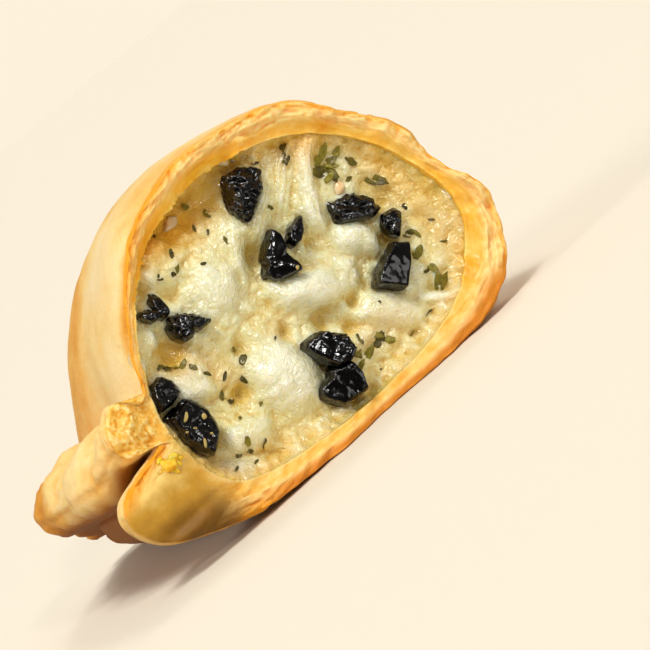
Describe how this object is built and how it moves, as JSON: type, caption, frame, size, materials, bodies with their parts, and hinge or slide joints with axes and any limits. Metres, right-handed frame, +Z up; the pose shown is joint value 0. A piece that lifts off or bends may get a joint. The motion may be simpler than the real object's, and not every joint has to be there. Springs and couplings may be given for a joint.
{
  "type": "torn empanada half",
  "caption": "Torn half of a baked half-moon pastry with a pressed sealed edge, filled with melted cheese, black olive pieces and herbs.",
  "frame": {"origin": "on the flat baked underside, below the middle of the piece", "axes": "+Z up from the underside, -Y out of the torn face, -X towards the pressed sealed edge"},
  "size_m": [0.0761, 0.0781, 0.0487],
  "materials": {
    "baked_dough": "baked wheat dough, satin, browned at the edges",
    "melted_cheese": "melted white cheese, moist and glossy, with green herb flakes",
    "black_olive": "wet black olive, glossy"
  },
  "bodies": {
    "root": {"crust": "baked_dough", "filling": "melted_cheese", "olive_1": "black_olive", "olive_2": "black_olive", "olive_3": "black_olive", "olive_4": "black_olive", "olive_5": "black_olive", "olive_6": "black_olive", "olive_7": "black_olive", "olive_8": "black_olive", "olive_9": "black_olive", "olive_10": "black_olive", "olive_11": "black_olive", "olive_12": "black_olive"}
  },
  "joints": []
}
